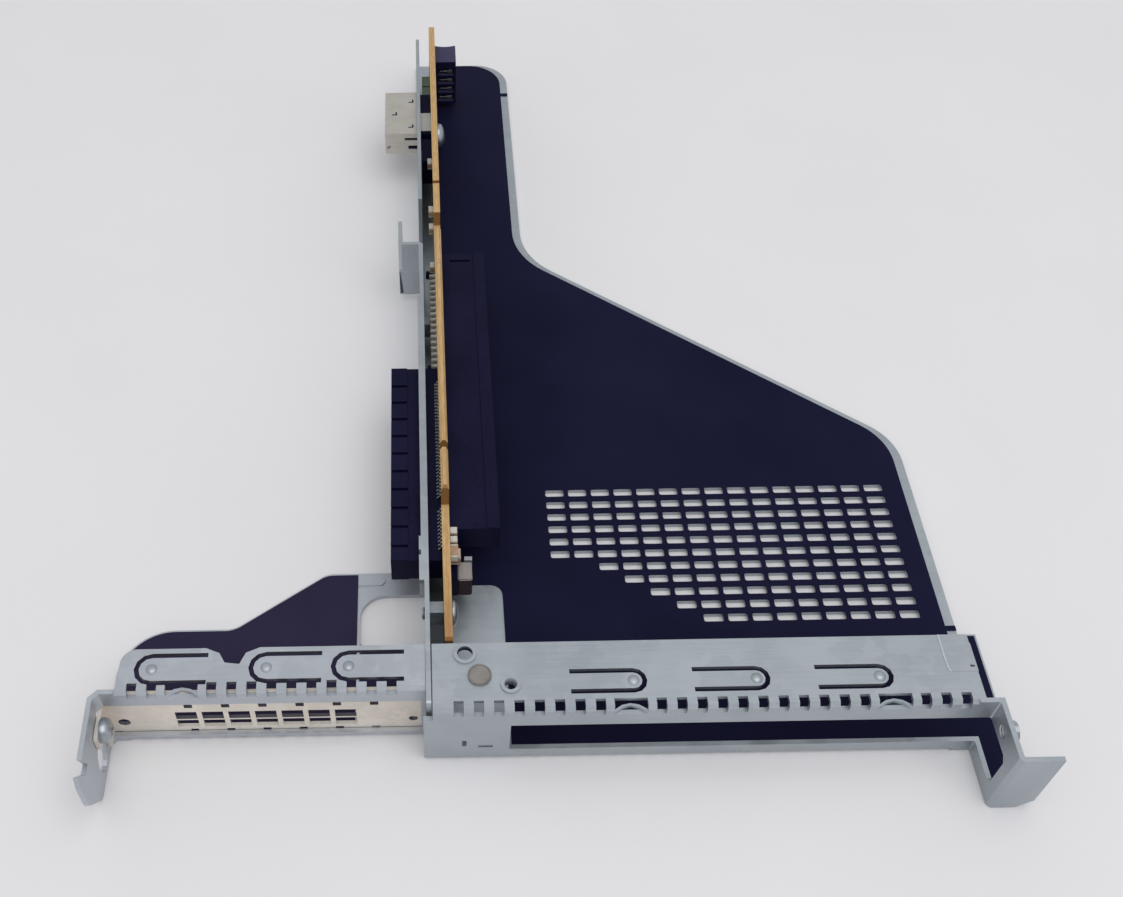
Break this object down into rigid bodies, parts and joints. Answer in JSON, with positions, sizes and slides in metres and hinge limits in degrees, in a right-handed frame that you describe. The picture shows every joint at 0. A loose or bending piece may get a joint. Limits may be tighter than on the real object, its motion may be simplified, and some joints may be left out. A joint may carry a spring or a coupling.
{
  "type": "pcie riser card",
  "caption": "Server riser card: folded sheet-metal cage with perforated rails and a vented cover plate, holding an upright circuit board with card slots on both faces.",
  "frame": {"origin": "where three planes meet: the middle of the board's thickness, the outer face of the full-height rear wall, and the outer face of the cover plate", "axes": "+X towards the full-height card's side, +Y from the rear wall into the cage, +Z from the cover plate towards the board's card edge"},
  "size_m": [0.1896, 0.2576, 0.027],
  "materials": {
    "galvanised_steel": "galvanised sheet with a fine spangle",
    "plated_blank": "warm plated sheet, slightly marked",
    "insulator_film": "matte navy-black film",
    "board": "solder-masked laminate with tan cut edges",
    "connector_plastic": "moulded black plastic",
    "plated_contact": "gold-plated contact",
    "solder": "tinned lead",
    "socket_shell": "nickel-plated shell",
    "screw_steel": "zinc-plated screw or rivet",
    "ceramic": "fired ceramic body",
    "capacitor": "grey-green moulded body"
  },
  "bodies": {
    "root": {"main_cage": "galvanised_steel", "board_wall": "galvanised_steel", "low_profile_cage": "galvanised_steel", "slot_blank": "plated_blank", "board_screws": "screw_steel", "blank_screw": "screw_steel", "board_standoffs": "screw_steel", "flange_rivet": "screw_steel", "bridge_rivet": "screw_steel", "main_insulator_film": "insulator_film", "side_insulator_film": "insulator_film", "riser_board": "board", "x16_slot_housing": "connector_plastic", "x16_contacts": "plated_contact", "x16_solder_tails": "solder", "x8_slot_housing": "connector_plastic", "x8_contacts": "plated_contact", "x8_solder_feet": "solder", "shielded_socket_shell": "socket_shell", "shielded_socket_insert": "connector_plastic", "header_housing": "connector_plastic", "header_contacts": "solder", "ceramic_capacitors": "ceramic", "resistor_packs": "ceramic", "filter_choke": "connector_plastic", "bulk_capacitors": "capacitor"}
  },
  "joints": []
}
